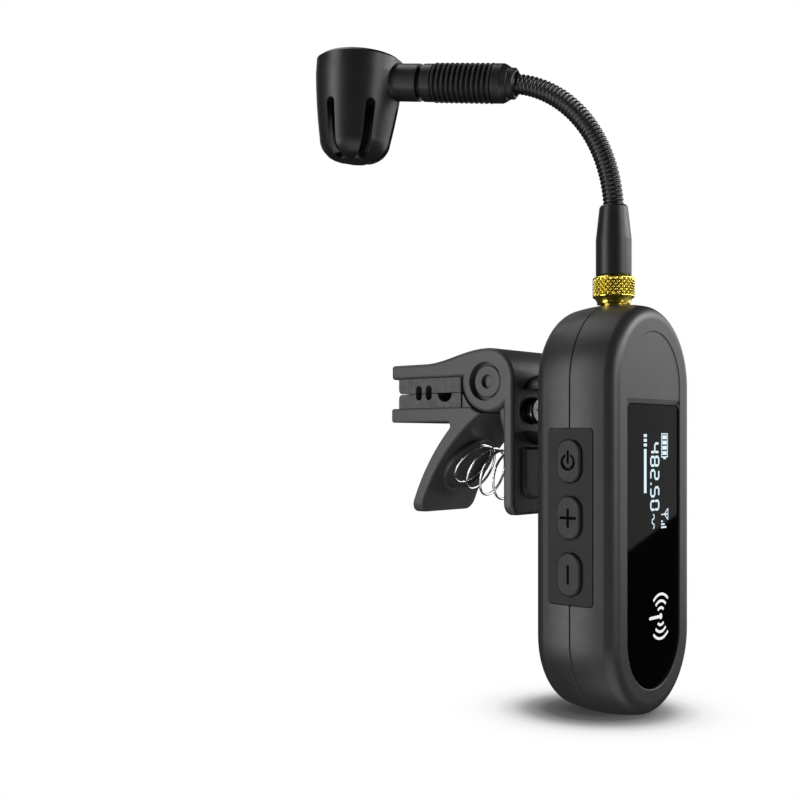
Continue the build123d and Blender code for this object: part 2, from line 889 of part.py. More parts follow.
with BuildPart() as swivel_washer:
    with BuildSketch(BACK.offset(swivel_floor - 0.25)):
        with Locations((0, swivel_z)):
            Circle(3.1)
            Circle(1.5, mode=Mode.SUBTRACT)
    extrude(amount=0.2)
save(swivel_washer, "swivel_washer")

with BuildPart() as swivel_screw:
    with BuildSketch(BACK.offset(swivel_floor - 1.45)):
        with Locations((0, swivel_z)):
            Circle(2.9)
    extrude(amount=1.2)
    fillet(swivel_screw.faces().sort_by(Axis.Y)[0].edges(), 0.7)
    with BuildSketch(BACK.offset(swivel_floor - 0.5)):
        with Locations((0, swivel_z)):
            Circle(1.45)
    extrude(amount=3.2)
    with BuildSketch(BACK.offset(swivel_floor - 1.5)):
        with Locations((0, swivel_z)):
            Rectangle(3.0, 0.62)
            Rectangle(0.62, 3.0)
    extrude(amount=0.75, mode=Mode.SUBTRACT)
save(swivel_screw, "swivel_screw")

# Clip: profiles drawn in the YZ plane and extruded to both sides
with BuildPart() as clip_arm:
    with BuildSketch(Plane.YZ) as arm_profile:
        with Locations(((arm_face + arm_back) / 2, (arm_foot + pivot_z) / 2)):
            Rectangle(arm_back - arm_face, pivot_z - arm_foot)
        with Locations((knuckle_y, knuckle_z)):
            Circle(knuckle_radius)
        with BuildLine():
            Line((knuckle_y, upper_jaw_foot), (jaw_tip, upper_jaw_foot))
            Line((jaw_tip, upper_jaw_foot), (jaw_tip, 74.2))
            Line((jaw_tip, 74.2), (43.5, 74.2))
            Bezier((43.5, 74.2), (37.5, 74.2), (32.5, 77.0), (knuckle_y, knuckle_z + knuckle_radius))
            Line((knuckle_y, knuckle_z + knuckle_radius), (knuckle_y, upper_jaw_foot))
        make_face()
        fillet(arm_profile.vertices().group_by(Axis.X)[-1], 0.6)
    extrude(amount=clip_half_width, both=True)
    fillet(clip_arm.edges().filter_by(Axis.Y).group_by(Axis.Z)[0], corner_radius)
    arm_sides = clip_arm.faces().sort_by(Axis.X)
    fillet(arm_sides[0].edges() + arm_sides[-1].edges(), clip_edge_radius)
    with BuildSketch(BACK.offset(arm_back)):
        with Locations((0, swivel_z)):
            Circle(8.6)
    extrude(amount=1.6)
    # Slot for the lever's lug and neck
    with BuildSketch(Plane.YZ):
        with Locations((pivot_y, pivot_z)):
            Circle(lug_radius + 0.4)
        with Locations((28.6, 66.2)):
            Rectangle(10.8, 8.0)
    extrude(amount=ear_inner, both=True, mode=Mode.SUBTRACT)
    # Pin bore and the ring-shaped recess around each pin head
    with BuildSketch(Plane.YZ):
        with Locations((pivot_y, pivot_z)):
            Circle(pin_radius + 0.02)
    extrude(amount=clip_half_width, both=True, mode=Mode.SUBTRACT)
    for side in (-1, 1):
        with BuildSketch(Plane.YZ.offset(side * (clip_half_width - pin_recess_depth))):
            with Locations((pivot_y, pivot_z)):
                Circle(pin_recess_radius)
        extrude(amount=side * 2, mode=Mode.SUBTRACT)
    # Round seat for the swivel, and its screw hole
    with BuildSketch(BACK.offset(swivel_floor + 1.1)):
        with Locations((0, swivel_z)):
            Circle(swivel_radius + 0.15)
    extrude(amount=-4, mode=Mode.SUBTRACT)
    with BuildSketch(BACK.offset(swivel_floor)):
        with Locations((0, swivel_z)):
            Circle(1.5)
    extrude(amount=4, mode=Mode.SUBTRACT)
    # Raised panel below the seat
    with BuildSketch(FRONT.offset(-arm_face)) as panel:
        with Locations((0, 49.6)):
            Rectangle(12.6, 11.4)
        fillet(panel.vertices().sort_by(Axis.Y)[:2], 3.0)
    extrude(amount=0.7, taper=40)
save(clip_arm, "clip_arm")

with BuildPart() as clip_pin:
    with BuildSketch(Plane.YZ):
        with Locations((pivot_y, pivot_z)):
            Circle(pin_radius)
    extrude(amount=clip_half_width - pin_recess_depth, both=True)
    for side in (-1, 1):
        with BuildSketch(Plane.YZ.offset(side * (clip_half_width - pin_recess_depth))):
            with Locations((pivot_y, pivot_z)):
                Circle(pin_head_radius)
        extrude(amount=side * (pin_recess_depth - pin_head_sink))
    chamfer(clip_pin.faces().sort_by(Axis.X)[0].edges(), 0.15)
    chamfer(clip_pin.faces().sort_by(Axis.X)[-1].edges(), 0.15)
    for side in (-1, 1):
        with BuildSketch(Plane.YZ.offset(side * (clip_half_width - pin_head_sink))):
            with Locations((pivot_y, pivot_z)):
                Circle(1.55)
        extrude(amount=-side * 0.85, mode=Mode.SUBTRACT)
save(clip_pin, "clip_pin")


def pad_profile(low, high, tip_side):
    """One jaw pad's side view, with the gripping slots cut out of it."""
    with BuildSketch(Plane.YZ) as profile:
        with Locations(((pad_start + pad_end) / 2, (low + high) / 2)):
            Rectangle(pad_end - pad_start, high - low)
        fillet(profile.vertices().group_by(Axis.Y)[tip_side].sort_by(Axis.X)[-1], 1.0)
        with Locations((45.3, pad_meeting + 0.1), (42.35, pad_meeting + 0.1)):
            SlotOverall(3.4, 1.8, rotation=90, mode=Mode.SUBTRACT)
        if tip_side == -1:
            with Locations((37.6, pad_meeting)):
                Circle(2.1, mode=Mode.SUBTRACT)
    return profile.sketch


with BuildPart() as upper_pad:
    extrude(pad_profile(pad_meeting, upper_jaw_foot, 0), amount=clip_half_width - 0.2, both=True)
save(upper_pad, "upper_pad")

with BuildPart() as lower_pad:
    lower_profile = pad_profile(lower_jaw_top, pad_meeting - pad_gap, -1)
    extrude(lower_profile, amount=clip_half_width - 0.2, both=True)
save(lower_pad, "lower_pad")


def around(y, z, radius, angle):
    """A point in the YZ plane, by its distance from (y, z) and its angle above +Y."""
    return y + radius * cos(radians(angle)), z + radius * sin(radians(angle))


hub_clearance = knuckle_radius + 0.4
hub_slope = degrees(asin((lower_jaw_top - knuckle_z) / hub_clearance))
hub_start = around(knuckle_y, knuckle_z, hub_clearance, hub_slope)
hub_middle = around(knuckle_y, knuckle_z, hub_clearance, -65)
hub_end = around(knuckle_y, knuckle_z, hub_clearance, -77)
wedge_back = 32.75
wedge_top = 66.9
blade_inner_foot = (44.9, 40.2)
blade_outer_foot = (47.8, 40.2)
blade_root = (34.9, lower_jaw_top - jaw_thickness)
seat_y = 39.2
seat_z = 51.4
seat_slope = 55.0
with BuildPart() as clip_lever:
    with BuildSketch(Plane.YZ) as lever_profile:
        with BuildLine():
            Polyline(
                blade_root,
                (jaw_tip, lower_jaw_top - jaw_thickness),
                (jaw_tip, lower_jaw_top),
                hub_start,
            )
            ThreePointArc(hub_start, hub_middle, hub_end)
            ThreePointArc(hub_end, (37.7, 53.5), blade_inner_foot)
            Line(blade_inner_foot, blade_outer_foot)
            ThreePointArc(blade_outer_foot, (42.5, 51.5), blade_root)
        make_face()
        fillet(lever_profile.vertices().sort_by_distance(blade_root)[0], 0.9)
        fillet(lever_profile.vertices().group_by(Axis.X)[-1], 0.6)
    extrude(amount=clip_half_width, both=True)
    fillet(clip_lever.edges().filter_by(Axis.Y).group_by(Axis.Z)[0], corner_radius)
    lever_sides = clip_lever.faces().sort_by(Axis.X)
    fillet(lever_sides[0].edges() + lever_sides[-1].edges(), lever_edge_radius)
    # Wedge that rises beside the knuckle
    with BuildSketch(Plane.YZ):
        with Locations((wedge_back, lower_jaw_top - 0.3)):
            Rectangle(3, wedge_top - lower_jaw_top + 0.3, align=(Align.MAX, Align.MIN))
        with Locations((knuckle_y, knuckle_z)):
            Circle(hub_clearance, mode=Mode.SUBTRACT)
    extrude(amount=clip_half_width - lever_edge_radius, both=True)
    with BuildSketch(Plane.YZ):
        with Locations((pivot_y, pivot_z)):
            Circle(lug_radius)
        with BuildLine():
            Polyline(
                around(pivot_y, pivot_z, 3.2, -30),
                around(pivot_y, pivot_z, 8.4, -42),
                around(pivot_y, pivot_z, 8.4, -76),
                around(pivot_y, pivot_z, 3.2, -84),
                close=True,
            )
        make_face()
    extrude(amount=lug_half_width, both=True)
    with BuildSketch(Plane.YZ):
        with Locations((pivot_y, pivot_z)):
            Circle(pin_radius + 0.05)
    extrude(amount=clip_half_width, both=True, mode=Mode.SUBTRACT)
    # Raised ring that holds the spring's end
    seat_normal = (0, -sin(radians(seat_slope)), -cos(radians(seat_slope)))
    with BuildSketch(Plane(origin=(0, seat_y, seat_z), x_dir=(1, 0, 0), z_dir=seat_normal)):
        Circle(7.5)
        Circle(6.7, mode=Mode.SUBTRACT)
    extrude(amount=1.4)
save(clip_lever, "clip_lever")

with BuildPart() as clip_spring:
    with BuildLine() as coil:
        Helix(pitch=3.3, height=13.6, radius=spring_radius, center=(0, 22.2, spring_height), direction=(0, 1, 0))
    with BuildSketch(Plane(origin=coil.line @ 0, z_dir=coil.line % 0)):
        Circle(spring_wire)
    sweep()
save(clip_spring, "clip_spring")
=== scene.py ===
import math

import bmesh
import bpy
from mathutils import Matrix, Vector


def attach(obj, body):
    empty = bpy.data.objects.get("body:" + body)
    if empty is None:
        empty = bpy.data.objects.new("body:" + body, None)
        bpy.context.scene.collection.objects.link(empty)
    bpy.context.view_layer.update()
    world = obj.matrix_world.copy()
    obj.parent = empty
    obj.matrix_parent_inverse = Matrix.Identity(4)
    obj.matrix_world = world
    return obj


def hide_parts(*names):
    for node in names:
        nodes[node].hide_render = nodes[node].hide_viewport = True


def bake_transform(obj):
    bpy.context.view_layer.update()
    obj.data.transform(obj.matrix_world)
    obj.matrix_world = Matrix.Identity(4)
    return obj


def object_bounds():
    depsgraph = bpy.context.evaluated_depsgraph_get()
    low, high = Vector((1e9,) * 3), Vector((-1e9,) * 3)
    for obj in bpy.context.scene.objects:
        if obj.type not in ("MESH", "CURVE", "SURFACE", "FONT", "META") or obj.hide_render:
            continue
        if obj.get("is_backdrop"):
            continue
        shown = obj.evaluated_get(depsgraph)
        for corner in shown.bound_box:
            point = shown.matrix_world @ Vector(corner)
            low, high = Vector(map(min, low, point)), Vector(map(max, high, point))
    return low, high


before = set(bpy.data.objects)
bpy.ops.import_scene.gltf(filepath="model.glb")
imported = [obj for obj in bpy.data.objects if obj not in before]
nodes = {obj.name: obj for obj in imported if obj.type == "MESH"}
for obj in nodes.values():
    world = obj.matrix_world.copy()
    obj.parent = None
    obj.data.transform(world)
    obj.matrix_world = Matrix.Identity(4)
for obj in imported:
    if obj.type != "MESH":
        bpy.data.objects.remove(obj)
cad_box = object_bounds()
MM = 0.001
TAU = 2 * math.pi
NECK_PIECES = 6


# ---------------------------------------------------------------- materials
COAT_ROUGHNESS = 0.1
NOISE_MIDDLE = (0.3, 0.7)


def tree_of(name):
    """An empty node material and its tree."""
    material = bpy.data.materials.new(name)
    material.use_nodes = True
    material.node_tree.nodes.clear()
    return material, material.node_tree


class Shader:
    """A principled material with its coordinates, built up one effect at a time."""

    def __init__(self, name, color, rough, metal=0.0, spec=0.5, coat=0.0):
        self.material, self.tree = tree_of(name)
        self.out = self.add("ShaderNodeOutputMaterial")
        self.bsdf = self.add("ShaderNodeBsdfPrincipled")
        self.link(self.bsdf.outputs[0], self.out.inputs[0])
        self.bsdf.inputs["Base Color"].default_value = (*color, 1)
        self.bsdf.inputs["Roughness"].default_value = rough
        self.bsdf.inputs["Metallic"].default_value = metal
        self.bsdf.inputs["Specular IOR Level"].default_value = spec
        self.bsdf.inputs["Coat Weight"].default_value = coat
        self.bsdf.inputs["Coat Roughness"].default_value = COAT_ROUGHNESS
        self.coords = self.add("ShaderNodeTexCoord").outputs["Object"]
        self.color = color
        self.normal = None

    def add(self, kind, **settings):
        """A new node, with any settings it needs."""
        node = self.tree.nodes.new(kind)
        for key, value in settings.items():
            setattr(node, key, value)
        return node

    def link(self, a, b):
        self.tree.links.new(a, b)

    def noise(self, scale, detail, roughness=0.55, stretch=None):
        """A noise value over the piece; stretch above 1 squeezes it along that axis."""
        node = self.add("ShaderNodeTexNoise")
        node.inputs["Scale"].default_value = scale
        node.inputs["Detail"].default_value = detail
        node.inputs["Roughness"].default_value = roughness
        source = self.coords
        if stretch:
            mapping = self.add("ShaderNodeMapping")
            mapping.inputs["Scale"].default_value = stretch
            self.link(source, mapping.inputs["Vector"])
            source = mapping.outputs[0]
        self.link(source, node.inputs["Vector"])
        return node.outputs["Fac"]

    def ramp(self, value, low, high, at=NOISE_MIDDLE):
        """The value spread from low to high between two places."""
        node = self.add("ShaderNodeMapRange")
        node.inputs["From Min"].default_value = at[0]
        node.inputs["From Max"].default_value = at[1]
        node.inputs["To Min"].default_value = low
        node.inputs["To Max"].default_value = high
        self.link(value, node.inputs["Value"])
        return node.outputs["Result"]

    def vary_color(self, value, dark, light, at=NOISE_MIDDLE):
        """Moves the color between a darker and a lighter share of itself."""
        mix = self.add("ShaderNodeMix", data_type="RGBA")
        mix.inputs["A"].default_value = (*[c * dark for c in self.color], 1)
        mix.inputs["B"].default_value = (*[min(1, c * light) for c in self.color], 1)
        self.link(self.ramp(value, 0, 1, at), mix.inputs["Factor"])
        self.link(mix.outputs["Result"], self.bsdf.inputs["Base Color"])
        return self

    def vary_rough(self, value, low, high):
        """Moves the roughness between two amounts."""
        self.link(self.ramp(value, low, high), self.bsdf.inputs["Roughness"])
        return self

    def bump(self, value, strength, depth):
        """Raises the surface's look by the value, over any soft edges."""
        node = self.add("ShaderNodeBump")
        node.inputs["Strength"].default_value = strength
        node.inputs["Distance"].default_value = depth
        self.link(value, node.inputs["Height"])
        if self.normal is not None:
            self.link(self.normal, node.inputs["Normal"])
        self.normal = node.outputs[0]
        self.link(self.normal, self.bsdf.inputs["Normal"])
        return self

    def soft_edges(self, radius):
        """Rounds the look of moulded edges; it goes in before any bump."""
        node = self.add("ShaderNodeBevel", samples=4)
        node.inputs["Radius"].default_value = radius
        self.normal = node.outputs[0]
        self.link(self.normal, self.bsdf.inputs["Normal"])
        return self


def moulded(name, color, rough, spec=0.5, grain=5200.0, edge=0.00012):
    """Injection-moulded plastic: a fine grain, with faint patches in its color and gloss."""
    s = Shader(name, color, rough, spec=spec).soft_edges(edge)
    s.vary_color(s.noise(90, 4.0), 0.94, 1.06)
    s.vary_rough(s.noise(420, 5.0), rough - 0.02, rough + 0.035)
    s.bump(s.noise(grain, 2.0, 0.6), 0.35, 0.000012)
    return s.material


def rubbery(name, color, rough=0.62, grain=2600.0):
    """Matt rubber: a soft mottled surface with paler, dusty patches."""
    s = Shader(name, color, rough, spec=0.35).soft_edges(0.00008)
    s.vary_color(s.noise(700, 5.0, 0.65), 0.75, 1.5)
    s.vary_rough(s.noise(320, 4.0), rough - 0.08, rough + 0.08)
    s.bump(s.noise(grain, 3.0, 0.6), 0.4, 0.00002)
    return s.material


def metal(name, color, rough, brush=None, edge=0.00006, coat=0.0):
    """Bare or plated metal; brush squeezes the noise along one axis into fine machining lines."""
    s = Shader(name, color, rough, metal=1.0, coat=coat).soft_edges(edge)
    lines = s.noise(900, 4.0, 0.6, brush or (1, 1, 1))
    s.vary_color(s.noise(160, 4.0), 0.88, 1.08)
    s.vary_rough(lines, max(0.04, rough - 0.06), rough + 0.1)
    s.bump(lines, 0.12 if brush else 0.05, 0.00001)
    return s.material


def glowing(name, color, strength):
    """Marks that give off their own light, with a little unevenness."""
    s = Shader(name, (0.02, 0.02, 0.02), 0.4)
    emission = s.add("ShaderNodeMix", data_type="RGBA")
    emission.inputs["A"].default_value = (*[c * 0.86 for c in color], 1)
    emission.inputs["B"].default_value = (*color, 1)
    s.link(s.ramp(s.noise(3200, 1.0), 0, 1), emission.inputs["Factor"])
    s.link(emission.outputs["Result"], s.bsdf.inputs["Emission Color"])
    s.bsdf.inputs["Emission Strength"].default_value = strength
    return s.material


def printed(name, color, rough=0.5, spec=0.35):
    """Screen-printed ink: slightly uneven, a little rough."""
    s = Shader(name, color, rough, spec=spec)
    s.vary_color(s.noise(2600, 3.0), 0.9, 1.05)
    s.vary_rough(s.noise(1500, 2.0), rough - 0.06, rough + 0.08)
    s.bump(s.noise(6000, 2.0), 0.2, 0.000006)
    return s.material


def board_green():
    """Solder mask over faint copper tracks."""
    s = Shader("board_green", (0.012, 0.09, 0.035), 0.34, coat=0.3)
    wave = s.add("ShaderNodeTexWave", bands_direction="DIAGONAL", rings_direction="Y")
    wave.inputs["Scale"].default_value = 420
    wave.inputs["Distortion"].default_value = 6.0
    wave.inputs["Detail Scale"].default_value = 0.4
    s.link(s.coords, wave.inputs["Vector"])
    s.vary_color(wave.outputs["Fac"], 0.7, 1.6, (0.45, 0.55))
    s.vary_rough(s.noise(900, 3.0), 0.26, 0.42)
    s.bump(wave.outputs["Fac"], 0.3, 0.00003)
    return s.material


def lens_material():
    """Smoked window: deep black with the faintest haze."""
    s = Shader("lens_gloss", (0.0005, 0.0005, 0.0006), 0.03, spec=0.1)
    s.vary_rough(s.noise(120, 5.0, 0.7), 0.02, 0.04)
    s.vary_color(s.noise(60, 3.0), 0.8, 1.3)
    s.bump(s.noise(35, 2.0), 0.004, 0.00002)
    return s.material


def painted_hose():
    """Black lacquer on a wound metal hose, a little uneven."""
    s = Shader("hose_metal", (0.010, 0.010, 0.0105), 0.27, spec=0.6)
    s.vary_color(s.noise(800, 4.0), 0.8, 1.3)
    s.vary_rough(s.noise(1200, 3.0), 0.24, 0.34)
    s.bump(s.noise(4000, 2.0), 0.15, 0.000006)
    return s.material


# where the knurl's painted groove shade is dark or bright, in metres: the reach from the axis, and the
# heights of its two ends
GROOVE_REACH, FLAT_REACH = 0.00396, 0.00430
LOW_END, HIGH_END = (0.08670, 0.08685), (0.09035, 0.09050)


def knurled_gold_painted_shade():
    """Gold plate, with painted shade darkening its colour down in the knurl's grooves."""
    s = Shader("gold_knurl_painted_shade", (1.0, 0.80, 0.13), 0.18, metal=1.0, coat=0.15).soft_edges(0.00002)
    parts = s.add("ShaderNodeSeparateXYZ")
    s.link(s.coords, parts.inputs[0])
    flat = s.add("ShaderNodeMapping")
    flat.inputs["Scale"].default_value = (1, 1, 0)
    s.link(s.coords, flat.inputs["Vector"])
    reach = s.add("ShaderNodeVectorMath", operation="LENGTH")
    s.link(flat.outputs[0], reach.inputs[0])
    below = s.ramp(parts.outputs["Z"], 1, 0, LOW_END)
    above = s.ramp(parts.outputs["Z"], 0, 1, HIGH_END)
    light = s.ramp(reach.outputs["Value"], 0, 1, (GROOVE_REACH, FLAT_REACH))
    for other in (below, above):
        most = s.add("ShaderNodeMath", operation="MAXIMUM")
        s.link(light, most.inputs[0])
        s.link(other, most.inputs[1])
        light = most.outputs[0]
    # painted shade: the colour darkens with the reach down into the grooves, and comes back to full at both
    # ends
    s.vary_color(light, 0.16, 1.0, (0, 1))
    s.vary_rough(s.noise(900, 4.0), 0.14, 0.26)
    s.bump(s.noise(2400, 3.0), 0.05, 0.00001)
    return s.material


def foil_pouch():
    """Creased foil round the battery."""
    s = Shader("foil_pouch", (0.62, 0.62, 0.64), 0.3, metal=1.0)
    s.vary_color(s.noise(200, 4.0), 0.8, 1.1)
    s.vary_rough(s.noise(600, 4.0), 0.22, 0.42)
    s.bump(s.noise(380, 5.0, 0.65), 0.35, 0.00006)
    return s.material


def amber_film():
    """Amber flexible circuit with fine lines."""
    s = Shader("amber_film", (0.42, 0.19, 0.03), 0.25, coat=0.4)
    s.vary_color(s.noise(700, 3.0, 0.5, (6, 1, 1)), 0.65, 1.25)
    s.vary_rough(s.noise(500, 3.0), 0.2, 0.34)
    s.bump(s.noise(1500, 2.0, 0.5, (8, 1, 1)), 0.2, 0.00001)
    return s.material


def display_panel():
    """The dark glass of the display itself."""
    s = Shader("display_panel", (0.015, 0.017, 0.022), 0.12, coat=0.5)
    s.vary_color(s.noise(1500, 2.0), 0.8, 1.3)
    s.vary_rough(s.noise(300, 3.0), 0.08, 0.18)
    s.bump(s.noise(2500, 1.0), 0.05, 0.00001)
    return s.material


shell = moulded("shell_plastic", (0.021, 0.021, 0.022), 0.40, spec=0.5)
clip_plastic = moulded("clip_plastic", (0.05, 0.05, 0.051), 0.44, spec=0.42, grain=4200, edge=0.0002)
panel_film = moulded("panel_film", (0.013, 0.013, 0.014), 0.5, spec=0.2, grain=6500, edge=0.00008)
button_plastic = moulded("button_plastic", (0.015, 0.015, 0.016), 0.46, spec=0.27, grain=6000, edge=0.00012)
head_plastic = moulded("head_plastic", (0.011, 0.011, 0.012), 0.36, spec=0.42, grain=6000, edge=0.00018)
pad_rubber = rubbery("pad_rubber", (0.055, 0.055, 0.055), 0.5)
grip_rubber = rubbery("grip_rubber", (0.012, 0.012, 0.012), 0.5, 3800)
boot_plastic = moulded("boot_plastic", (0.012, 0.012, 0.013), 0.38, spec=0.42, grain=5600, edge=0.0001)
bracket_plastic = moulded("bracket_plastic", (0.012, 0.012, 0.013), 0.36, spec=0.5, grain=4600, edge=0.00015)
hose_metal = painted_hose()
gold = metal("gold_plate", (1.0, 0.80, 0.13), 0.2, edge=0.00003, coat=0.15)
chrome = metal("spring_chrome", (0.92, 0.92, 0.93), 0.16)
steel = metal("machined_steel", (0.52, 0.52, 0.54), 0.3, (1, 18, 1))
screw_zinc = metal("screw_zinc", (0.6, 0.6, 0.62), 0.26)
lead_rubber = rubbery("lead_rubber", (0.02, 0.02, 0.02), 0.5)
chip_black = moulded("chip_black", (0.02, 0.02, 0.021), 0.5, grain=3000)
# painted glow: the lower window's printed mark is made to give off its own light
white_mark_painted_glow = glowing("white_mark_painted_glow", (1.0, 1.0, 1.0), 0.9)
icon_ink = printed("icon_ink", (0.002, 0.002, 0.002), 0.8, 0.04)
readout_light = glowing("readout_light", (0.72, 0.92, 1.0), 1.0)
foam = rubbery("grey_foam", (0.12, 0.12, 0.125), 0.9, 1800)
glass_lens = lens_material()
pcb = board_green()
pouch = foil_pouch()
film = amber_film()
panel_glass = display_panel()

# the CAD pieces that are shown as they are, by material
finishes = {
    shell: ["front_shell", "rear_shell"],
    clip_plastic: ["clip_arm", "clip_lever", "clip_pin"],
    panel_film: ["button_panel"],
    button_plastic: ["power_button", "plus_button", "minus_button"],
    head_plastic: ["mic_cage", "mic_cap", "grip_collar", "grip_ferrule"],
    pad_rubber: ["upper_pad", "lower_pad"],
    grip_rubber: ["grip_sleeve", "neck_ring", "capsule_mount"],
    boot_plastic: ["gooseneck_boot"],
    bracket_plastic: ["swivel_bracket", "swivel_washer"],
    gold: ["mic_plug", "jack_contacts", "antenna"],
    steel: ["mic_capsule", "radio_shield", "usb_socket", "grip_core"],
    screw_zinc: ["swivel_screw", "shell_screws", "bracket_screws"],
    lead_rubber: [f"mic_lead_{k}" for k in range(1, NECK_PIECES + 1)],
    chip_black: [
        "board_chips",
        "tact_switches",
        "jack_socket",
        "plug_insulators",
        "power_plunger",
        "plus_plunger",
        "minus_plunger",
    ],
    pcb: ["main_board"],
    pouch: ["battery_cell"],
    film: ["display_flex"],
    panel_glass: ["display_module"],
    foam: ["battery_pad"],
    glass_lens: ["display_lens"],
}
for material, names in finishes.items():
    for name in names:
        mesh = nodes[name].data
        mesh.materials.clear()
        mesh.materials.append(material)


# ---------------------------------------------------------------- mesh helpers
def piece(name, points, faces, material, body, smooth=True, stands_for=()):
    """A new visible piece: points in millimetres in the object's frame."""
    mesh = bpy.data.meshes.new(name)
    mesh.from_pydata([tuple(c * MM for c in p) for p in points], [], faces)
    mesh.validate()
    bm = bmesh.new()
    bm.from_mesh(mesh)
    bmesh.ops.recalc_face_normals(bm, faces=bm.faces)
    bm.to_mesh(mesh)
    bm.free()
    mesh.polygons.foreach_set("use_smooth", [smooth] * len(mesh.polygons))
    mesh.materials.append(material)
    thing = bpy.data.objects.new(name, mesh)
    bpy.context.scene.collection.objects.link(thing)
    if body:
        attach(thing, body)
    if stands_for:
        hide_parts(*stands_for)
    return thing


def grid_faces(rows, columns):
    """Quads between rows of points; each row is a closed loop."""
    faces = []
    for i in range(rows - 1):
        a, b = i * columns, (i + 1) * columns
        for j in range(columns):
            k = (j + 1) % columns
            faces.append((a + j, a + k, b + k, b + j))
    return faces


def closed_lathe(profile, columns, shape):
    """Points and faces turned round Z from a ring of (radius, height) pairs; shape changes each radius."""
    points = []
    for r, z in profile:
        for j in range(columns):
            turn = TAU * j / columns
            radius = shape(r, z, turn)
            points.append((radius * math.cos(turn), radius * math.sin(turn), z))
    faces = grid_faces(len(profile), columns)
    last = (len(profile) - 1) * columns
    faces += [(last + j, last + (j + 1) % columns, (j + 1) % columns, j) for j in range(columns)]
    return points, faces


def saw(x):
    """Triangle wave from 0 to 1 and back, once for each whole step of x."""
    x = x % 1.0
    return 1 - abs(2 * x - 1)


# ---------------------------------------------------------------- the gold lock nut, with its diamond knurl
NUT_RADIUS, NUT_COLLAR, NUT_BORE, PLUG_BORE = 4.36, 3.45, 3.05, 2.35
NUT_FOOT, NUT_SHOULDER, NUT_TOP, NUT_FLOOR = 85.2, 86.7, 90.8, 89.8
NUT_STEP, NUT_STEPS = 0.1, 37
KNURLS, KNURL_LOW, KNURL_HIGH, KNURL_DEPTH = 24, 86.75, 90.45, 0.46
KNURL_LEAD = 1.1  # the height in which a groove moves over by one knurl
KNURL_START = 4.3  # nothing nearer the axis than this is knurled
KNURL_EDGE = 9  # how quickly the grooves fade in at both ends
KNURL_FLAT = 1.7  # a larger value gives the diamonds wider flat tops
KNURL_COLUMNS = 12  # points round the nut for each knurl


def knurl(r, z, turn):
    """Two crossing sets of grooves leave flat-topped diamonds between them."""
    if r < KNURL_START or not KNURL_LOW < z < KNURL_HIGH:
        return r
    along = (z - KNURL_LOW) / (KNURL_HIGH - KNURL_LOW)
    edge = min(1.0, KNURL_EDGE * along, KNURL_EDGE * (1 - along))
    lead = (z - KNURL_LOW) / KNURL_LEAD
    one, two = saw(KNURLS * turn / TAU + lead), saw(KNURLS * turn / TAU - lead)
    peak = min(1.0, KNURL_FLAT * min(one, two))
    return r - KNURL_DEPTH * edge * (1 - peak)


nut_collar = [(NUT_BORE, NUT_FOOT), (3.4, NUT_FOOT), (NUT_COLLAR, 85.25), (NUT_COLLAR, 85.6), (3.5, 85.75)]
nut_shoulder = [(3.9, 86.4), (4.28, 86.6), (NUT_RADIUS, NUT_SHOULDER)]
nut_side = [(NUT_RADIUS, NUT_SHOULDER + NUT_STEP * i) for i in range(1, NUT_STEPS + 1)]
nut_end = [(4.32, 90.55), (4.1, 90.78), (4.05, NUT_TOP), (2.4, NUT_TOP), (PLUG_BORE, 90.75)]
nut_inside = [(PLUG_BORE, 89.85), (2.4, NUT_FLOOR), (3.0, NUT_FLOOR), (NUT_BORE, 89.75)]
nut_profile = nut_collar + nut_shoulder + nut_side + nut_end + nut_inside
points, faces = closed_lathe(nut_profile, KNURLS * KNURL_COLUMNS, knurl)
piece("lock_nut_knurled", points, faces, knurled_gold_painted_shade(), "nut", stands_for=["lock_nut"])


# ---------------------------------------------------------------- the threaded bush under it
BUSH_RADIUS, BUSH_BORE, BUSH_FLANGE = 2.95, 1.85, 4.0
BUSH_FOOT, FLANGE_TOP, BUSH_TOP = 80.9, 82.4, 88.6
THREAD_LOW, THREAD_HIGH, THREAD_PITCH, THREAD_DEPTH = 83.2, 88.4, 0.5, 0.2
THREAD_STEP, THREAD_STEPS = 0.083, 71
THREAD_START = 2.9
BUSH_COLUMNS = 96


def thread(r, z, turn):
    """A thread cut into the bush's side."""
    if r < THREAD_START or z < THREAD_LOW or z > THREAD_HIGH:
        return r
    return r - THREAD_DEPTH * saw(z / THREAD_PITCH - turn / TAU)


bush_flange = [(BUSH_BORE, BUSH_FOOT), (BUSH_FLANGE, BUSH_FOOT), (BUSH_FLANGE, 82.35), (3.95, FLANGE_TOP)]
bush_side = [(BUSH_RADIUS, FLANGE_TOP + THREAD_STEP * i) for i in range(THREAD_STEPS + 1)]
bush_end = [(2.93, 88.35), (2.65, BUSH_TOP), (1.95, BUSH_TOP), (BUSH_BORE, 88.5)]
bush_profile = bush_flange + bush_side + bush_end
points, faces = closed_lathe(bush_profile, BUSH_COLUMNS, thread)
piece("bush_threaded", points, faces, gold, "transmitter", stands_for=["jack_bush"])


# ---------------------------------------------------------------- the gooseneck's spiral hose
BEND_TURN = math.radians(20)
ACROSS = Vector((-math.sin(BEND_TURN), math.cos(BEND_TURN), 0))
ASIDE = Vector((math.cos(BEND_TURN), math.sin(BEND_TURN), 0))
NECK_FOOT, NECK_LENGTH, HINGE_STEP = 106.0, 38.4, 6.4
HOSE_RADIUS, HOSE_DEPTH, HOSE_PITCH, HOSE_SHARPNESS = 2.16, 0.32, 0.93, 0.5
HOSE_INTO_BOOT, HOSE_INTO_GRIP = 1.2, 1.1
HOSE_COLUMNS, ROWS_A_TURN = 48, 12
LEAN_START, LEAN_RATE, LEAN_GROWTH = 4.0, 1.3, 0.0185
LINE_STEP = 0.04
SOFT_END = 0.6  # how far past the neck's ends the end hoses' low and high points are taken; nothing uses them


def lean(s):
    """How far the neck leans from upright, s millimetres along it."""
    return math.radians(LEAN_START + LEAN_RATE * s + LEAN_GROWTH * s * s)


